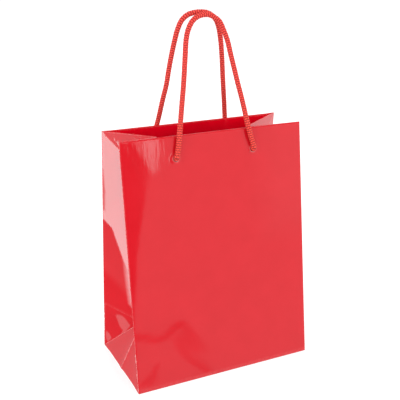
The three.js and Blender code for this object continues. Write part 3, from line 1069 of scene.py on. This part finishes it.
def card(nodes, towards, corners, brightness, soft):
    """A bright card between the corners' directions, which go round it in order."""
    shape = None
    middle = sum(direction(*c) for c in corners)
    for first, second in zip(corners, corners[1:] + corners[:1]):
        normal = np.cross(direction(*first), direction(*second))
        normal /= np.linalg.norm(normal)
        if normal @ middle < 0:
            normal = -normal
        inputs = {0: towards, 1: tuple(normal)}
        dot = nodes.add("ShaderNodeVectorMath", inputs, operation="DOT_PRODUCT")
        edge = nodes.mapped(dot.outputs["Value"], -soft, soft, 0.0, 1.0)
        shape = edge if shape is None else nodes.math("MINIMUM", shape, edge)
    return nodes.math("MULTIPLY", shape, brightness)


STUDIO_CARDS = [
    # corners as (azimuth, elevation), brightness, softness of the edge
    ([(-39.8, 25), (-39.8, -27.5), (-72.6, -30.5), (-73.9, -27.9), (-75.5, -25), (-75.5, 25)], 6.1, 0.003),
    ([(-74.5, 25), (-74.5, -25.7), (-87, -21.9), (-87, 25)], 6.1, 0.005),
    ([(-85, 25), (-85, -22.3), (-98, -22.1), (-98, 25)], 6.1, 0.02),
    ([(-20, 60), (-20, -24), (-41, -26.5), (-41, 60)], 1.2, 0.006),
    ([(-66, -18), (-68, -36), (-97, -33), (-97, -18)], 0.47, 0.05),
    ([(-112.5, -18), (-112.5, -50), (-135, -50), (-135, -18)], 1.05, 0.012),
    (
        [(24.2, 10), (20.0, -4.8), (19.45, -6.5), (18.4, -10.6), (17.3, -17), (16, -25), (60, -60), (60, 10)],
        1.57,
        0.0016,
    ),
    ([(23.5, 12), (23.5, -15), (60, -15), (60, 12)], 1.90, 0.12),
    ([(20.15, 10), (20.15, -3.0), (20.5, -4.6), (20.8, -4.2), (21.15, -2.6), (21.1, 10)], 6.2, 0.0025),
    ([(19.1, 10), (19.1, -2.4), (19.6, -3.1), (20.3, -2.7), (20.3, 10)], 2.5, 0.004),
    ([(70, 40), (70, -40), (110, -40), (110, 40)], 1.75, 0.05),
    ([(-130, 30), (-130, -14), (-165, -14), (-165, 30)], 0.62, 0.05),
    ([(112, 40), (112, -50), (158, -50), (158, 40)], 1.6, 0.02),
    ([(160, 30), (160, -30), (-165, -30), (-165, 30)], 0.9, 0.05),
]
STUDIO_GAPS = [
    # corners, how much of the light they hold back, softness of the edge
    ([(17.0, -17.4), (17.2, -16.8), (20.9, -16.2), (21.1, -16.9)], 0.55, 0.003),
    ([(20.7, -16.4), (21.2, -16.2), (23.8, -20.7), (23.2, -21.0)], 0.45, 0.003),
    ([(-53, -30), (-54, -26.0), (-62, -26.3), (-70, -27.2), (-71, -30)], 0.65, 0.003),
    ([(17.3, -20.75), (17.8, -20.25), (18.9, -19.85), (19.2, -20.05), (18.5, -20.7)], 0.50, 0.0015),
]
CARD_TINT = (0.50, 1.0, 1.0, 1.0)
FAINT_STUDIO = 0.20  # what the gloss mirrors between the cards


def make_world():
    """White to the camera, even light for matt surfaces, and a studio of cards for the gloss."""
    world = bpy.data.worlds.new("studio")
    bpy.context.scene.world = world
    world.use_nodes = True
    nodes = Nodes(world.node_tree)
    output = nodes.add("ShaderNodeOutputWorld")
    towards = nodes.add("ShaderNodeTexCoord").outputs["Generated"]
    rays = nodes.add("ShaderNodeLightPath")
    seen = None
    for corners, brightness, soft in STUDIO_CARDS:
        shape = card(nodes, towards, corners, brightness, soft)
        seen = shape if seen is None else nodes.math("MAXIMUM", seen, shape)
    for corners, depth, soft in STUDIO_GAPS:
        shape = nodes.math("SUBTRACT", 1.0, card(nodes, towards, corners, depth, soft))
        seen = nodes.math("MULTIPLY", seen, shape)
    seen = nodes.math("MAXIMUM", seen, FAINT_STUDIO)
    light, studio, sweep = (
        nodes.add("ShaderNodeBackground", {"Color": colour, "Strength": strength}).outputs[0]
        for colour, strength in ((WHITE, 1.0), (CARD_TINT, seen), (WHITE, 1.0))
    )
    for kind, chosen in (("Is Glossy Ray", studio), ("Is Camera Ray", sweep)):
        inputs = {0: rays.outputs[kind], 1: light, 2: chosen}
        light = nodes.add("ShaderNodeMixShader", inputs).outputs[0]
    nodes.fill(output, {"Surface": light})


def soft_light(name, azimuth, elevation, distance, size, power):
    data = bpy.data.lights.new(name, "AREA")
    data.size = size
    data.energy = power
    light = add_object(name, data)
    away = Vector(direction(azimuth, elevation))
    light.location = away * distance + Vector((0, 0, 0.12))
    light.rotation_euler = away.to_track_quat("Z", "Y").to_euler()
    light.visible_glossy = False
    light.visible_camera = False


make_floor()
make_world()
soft_light("key_light", 35, 45, 2.2, 1.2, 14.0)
soft_light("fill_light", -75, 30, 2.4, 1.6, 17.0)
soft_light("back_light", 165, 40, 2.4, 1.6, 15.0)
bpy.context.scene.view_settings.view_transform = "Standard"
